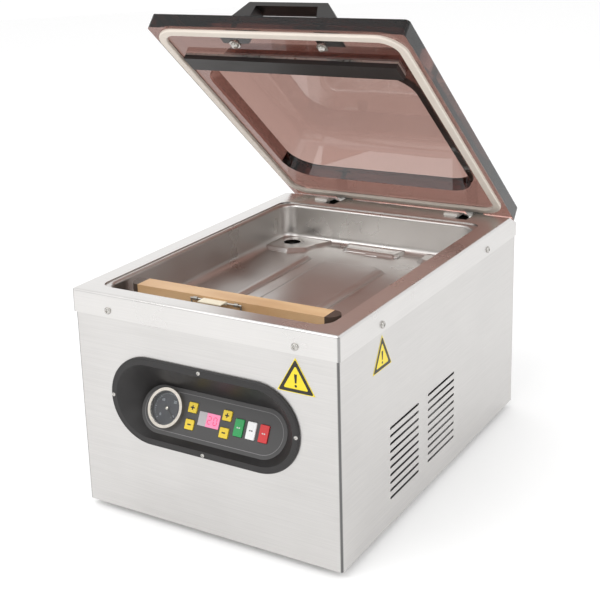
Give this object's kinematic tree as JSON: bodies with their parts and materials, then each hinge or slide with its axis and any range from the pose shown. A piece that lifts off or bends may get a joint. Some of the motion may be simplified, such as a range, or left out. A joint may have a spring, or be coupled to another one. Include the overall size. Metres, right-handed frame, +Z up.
{
  "type": "chamber vacuum packing machine",
  "caption": "Table-top chamber vacuum packing machine with a hinged clear domed lid, stainless chamber, lifting sealing bar, bag clip, vacuum gauge and front control panel.",
  "frame": {"origin": "middle of the casing's footprint, on the surface that the machine stands on", "axes": "+Z up, -Y towards the operator, +X to the operator's right; the lid is stored open"},
  "size_m": [0.3348, 0.5007, 0.5534],
  "materials": {
    "casing_steel": "brushed",
    "deck_steel": "brushed",
    "tub_steel": "polished pressing",
    "foot_rubber": "matte",
    "screw_steel": "bright",
    "caution_yellow": "printed",
    "black_moulding": "fine textured",
    "panel_grey": "satin film",
    "display_red": "clear window",
    "key_yellow": "satin",
    "key_green": "satin",
    "key_white": "satin",
    "key_red": "satin",
    "gauge_black": "matte",
    "gauge_chrome": "polished",
    "gauge_dial": "printed",
    "gauge_glass": "clear",
    "bar_aluminium": "milled",
    "heating_alloy": "rolled",
    "ptfe_tan": "coated cloth",
    "clip_cream": "satin",
    "bracket_steel": "plated",
    "lid_acrylic": "clear tinted",
    "gasket_white": "silicone",
    "counter_silicone": "silicone",
    "pad_nylon": "machined",
    "pump_iron": "painted",
    "motor_paint": "painted",
    "fan_plastic": "moulded",
    "filter_paint": "painted",
    "hose_rubber": "matte",
    "transformer_iron": "varnished",
    "board_green": "coated"
  },
  "bodies": {
    "casing": {"air_hose": "hose_rubber", "base_pan": "casing_steel", "bezel_screws": "screw_steel", "casing_wrap": "casing_steel", "caution_plates": "caution_yellow", "chamber_tub": "tub_steel", "control_bezel": "black_moulding", "control_board": "board_green", "control_panel": "panel_grey", "cover_screws": "screw_steel", "deck_cover": "deck_steel", "display_window": "display_red", "exhaust_filter": "filter_paint", "foot_screws": "screw_steel", "gauge_case": "gauge_black", "gauge_dial": "gauge_dial", "gauge_lens": "gauge_glass", "gauge_ring": "gauge_chrome", "hinge_brackets": "bracket_steel", "hinge_pads": "pad_nylon", "lift_cylinders": "bar_aluminium", "power_inlet": "black_moulding", "pump_feet": "foot_rubber", "pump_motor": "motor_paint", "rear_panel": "casing_steel", "rear_screws": "screw_steel", "rubber_feet": "foot_rubber", "solenoid_valve": "bar_aluminium", "suction_hose": "hose_rubber", "switch_frame": "black_moulding", "torsion_springs": "screw_steel", "transformer": "transformer_iron", "vacuum_pump": "pump_iron"},
    "lid": {"lid_window": "lid_acrylic", "lid_gasket": "gasket_white", "counter_bar_channel": "bar_aluminium", "counter_bar": "counter_silicone", "lid_handle": "black_moulding", "handle_bolts": "screw_steel", "hinge_arms": "bracket_steel", "arm_bolts": "screw_steel", "hinge_shaft": "screw_steel"},
    "seal_bar": {"seal_bar_beam": "bar_aluminium", "heating_strip": "heating_alloy", "ptfe_cover": "ptfe_tan", "bar_end_caps": "black_moulding", "lift_rods": "screw_steel", "clip_eyelets": "bracket_steel"},
    "bag_clip": {"clip_wire": "screw_steel", "clip_plate": "clip_cream"},
    "fan": {"pump_fan": "fan_plastic"},
    "needle": {"gauge_needle": "gauge_black"},
    "rocker": {"power_rocker": "black_moulding"},
    "key_plus_left_body": {"key_plus_left": "key_yellow"},
    "key_minus_left_body": {"key_minus_left": "key_yellow"},
    "key_plus_right_body": {"key_plus_right": "key_yellow"},
    "key_minus_right_body": {"key_minus_right": "key_yellow"},
    "key_green_body": {"key_green": "key_green"},
    "key_white_body": {"key_white": "key_white"},
    "key_red_body": {"key_red": "key_red"}
  },
  "joints": [
    {"name": "lid_hinge", "type": "hinge", "parent": "casing", "child": "lid", "pos_m": [0, 0.199, 0.188], "axis": [1, 0, 0], "range_deg": [0, 40], "stiffness_Nm_per_rad": 6, "springref_deg": -60.16},
    {"name": "seal_bar_lift", "type": "slide", "parent": "casing", "child": "seal_bar", "axis": [0, 0, 1], "range_m": [0, 0.0025]},
    {"name": "bag_clip_flip", "type": "hinge", "parent": "seal_bar", "child": "bag_clip", "pos_m": [0, -0.1875, 0.254], "axis": [-1, 0, 0], "range_deg": [0, 40]},
    {"name": "fan_spin", "type": "hinge", "parent": "casing", "child": "fan", "pos_m": [0.087, 0.096, 0.0715], "axis": [1, 0, 0], "continuous": true},
    {"name": "needle_sweep", "type": "hinge", "parent": "casing", "child": "needle", "pos_m": [-0.0589, -0.21957, 0.13394], "axis": [0, -0.8829, 0.4695], "range_deg": [0, 270], "stiffness_Nm_per_rad": 0.0005, "springref_deg": -11.46},
    {"name": "rocker_tilt", "type": "hinge", "parent": "casing", "child": "rocker", "pos_m": [-0.04, 0.2354, 0.062], "axis": [1, 0, 0], "range_deg": [0, 16]},
    {"name": "key_plus_left_press", "type": "slide", "parent": "casing", "child": "key_plus_left_body", "axis": [0, 0.8829, -0.4695], "range_m": [0, 0.0008], "stiffness_N_per_m": 600, "springref_m": -0.0005},
    {"name": "key_minus_left_press", "type": "slide", "parent": "casing", "child": "key_minus_left_body", "axis": [0, 0.8829, -0.4695], "range_m": [0, 0.0008], "stiffness_N_per_m": 600, "springref_m": -0.0005},
    {"name": "key_plus_right_press", "type": "slide", "parent": "casing", "child": "key_plus_right_body", "axis": [0, 0.8829, -0.4695], "range_m": [0, 0.0008], "stiffness_N_per_m": 600, "springref_m": -0.0005},
    {"name": "key_minus_right_press", "type": "slide", "parent": "casing", "child": "key_minus_right_body", "axis": [0, 0.8829, -0.4695], "range_m": [0, 0.0008], "stiffness_N_per_m": 600, "springref_m": -0.0005},
    {"name": "key_green_press", "type": "slide", "parent": "casing", "child": "key_green_body", "axis": [0, 0.8829, -0.4695], "range_m": [0, 0.0008], "stiffness_N_per_m": 600, "springref_m": -0.0005},
    {"name": "key_white_press", "type": "slide", "parent": "casing", "child": "key_white_body", "axis": [0, 0.8829, -0.4695], "range_m": [0, 0.0008], "stiffness_N_per_m": 600, "springref_m": -0.0005},
    {"name": "key_red_press", "type": "slide", "parent": "casing", "child": "key_red_body", "axis": [0, 0.8829, -0.4695], "range_m": [0, 0.0008], "stiffness_N_per_m": 600, "springref_m": -0.0005}
  ]
}
